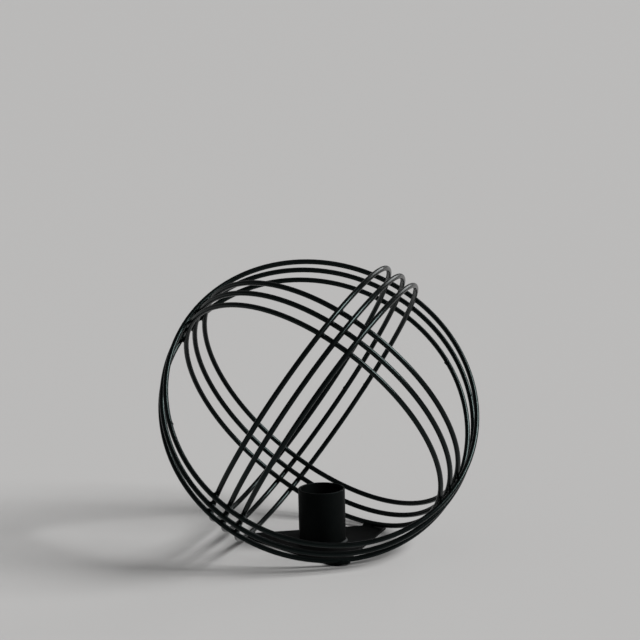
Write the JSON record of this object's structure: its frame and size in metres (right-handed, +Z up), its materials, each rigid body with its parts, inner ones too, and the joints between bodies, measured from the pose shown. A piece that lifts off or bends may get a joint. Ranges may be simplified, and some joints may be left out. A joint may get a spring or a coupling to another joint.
{
  "type": "air plant holder",
  "caption": "Open globe of crossed black wire hoops on a small three-cornered base plate, with a short upright socket tube for an air plant.",
  "frame": {"origin": "on the underside of the base plate, on the axis of the socket tube, straight below the globe's centre", "axes": "+Z up along the socket tube, out of its mouth; -Y towards the front, where the lowest strand of the outer hoops rests on the plate"},
  "size_m": [0.1504, 0.14, 0.1325],
  "materials": {
    "hoop_coat": "satin black powder coat on steel wire",
    "weld_coat": "black powder coat over welds",
    "tube_coat": "matte black powder coat on steel tube",
    "plate_coat": "satin black powder coat on sheet steel"
  },
  "bodies": {
    "root": {"outer_hoop_high": "hoop_coat", "outer_hoop_mid": "hoop_coat", "outer_hoop_low": "hoop_coat", "middle_hoop_high": "hoop_coat", "middle_hoop_mid": "hoop_coat", "middle_hoop_low": "hoop_coat", "inner_hoop_high": "hoop_coat", "inner_hoop_mid": "hoop_coat", "inner_hoop_low": "hoop_coat", "outer_middle_welds": "weld_coat", "outer_inner_welds": "weld_coat", "middle_inner_welds": "weld_coat", "outer_hoop_high_joint": "weld_coat", "outer_hoop_mid_joint": "weld_coat", "outer_hoop_low_joint": "weld_coat", "middle_hoop_high_joint": "weld_coat", "middle_hoop_mid_joint": "weld_coat", "middle_hoop_low_joint": "weld_coat", "inner_hoop_high_joint": "weld_coat", "inner_hoop_mid_joint": "weld_coat", "inner_hoop_low_joint": "weld_coat", "base_welds": "weld_coat", "tube_weld": "weld_coat", "socket_tube": "tube_coat", "base_plate": "plate_coat"}
  },
  "joints": []
}
